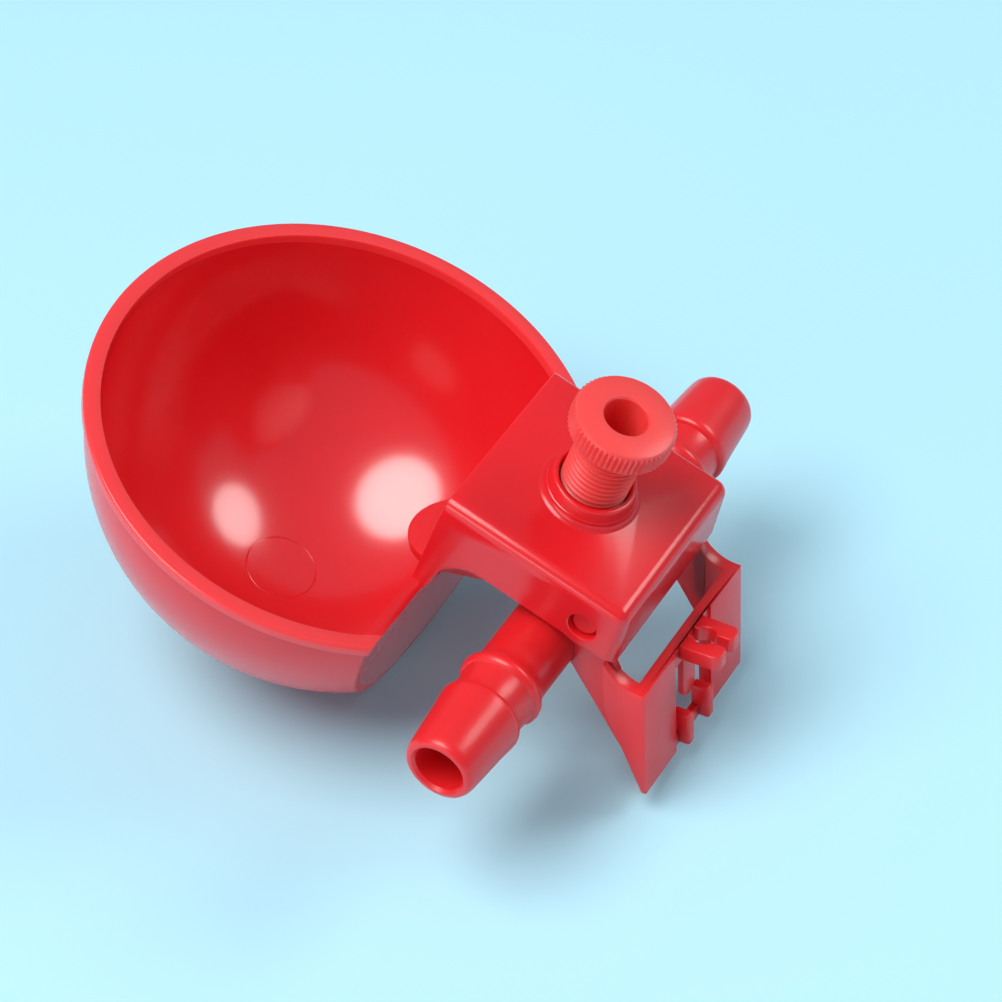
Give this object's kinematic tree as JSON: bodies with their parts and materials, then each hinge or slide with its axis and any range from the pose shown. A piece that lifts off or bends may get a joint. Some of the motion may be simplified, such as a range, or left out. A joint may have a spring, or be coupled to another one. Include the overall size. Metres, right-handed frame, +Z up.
{
  "type": "poultry drinking cup",
  "caption": "Red weight-operated drinking cup for poultry: round bowl hinged on a hose tee with a wire clip plate and a knurled adjusting screw.",
  "frame": {"origin": "centre of the wire clip, on the rear plane of the back plate", "axes": "+X along the hose tee, +Y back towards the cage the cup hangs on, +Z up"},
  "size_m": [0.0886, 0.1041, 0.0642],
  "materials": {
    "red_plastic": "gloss",
    "red_body_plastic": "gloss",
    "spring_steel": "satin",
    "pad_rubber": "matte"
  },
  "bodies": {
    "bracket": {"valve_body": "red_body_plastic", "return_spring": "spring_steel"},
    "cup": {"cup": "red_plastic"},
    "plunger": {"plunger": "red_body_plastic", "valve_pad": "pad_rubber"},
    "screw": {"adjusting_screw": "red_plastic"}
  },
  "joints": [
    {"name": "cup_tilt", "type": "hinge", "parent": "bracket", "child": "cup", "pos_m": [0, -0.0095, 0.021], "axis": [1, 0, 0], "range_deg": [0, 7.5], "stiffness_Nm_per_rad": 0.11, "springref_deg": -8.19, "deforming": ["return_spring"]},
    {"name": "screw_travel", "type": "slide", "parent": "cup", "child": "plunger", "axis": [0, 0.3616, 0.9323], "range_m": [0, 0.003]},
    {"name": "screw_turn", "type": "hinge", "parent": "plunger", "child": "screw", "pos_m": [0, -0.02377, 0.01324], "axis": [0, 0.3616, 0.9323], "range_deg": [0, 1080]}
  ],
  "couplings": [
    {"joint": "screw_turn", "follows": "screw_travel", "rad_per_m": 6283.2}
  ]
}
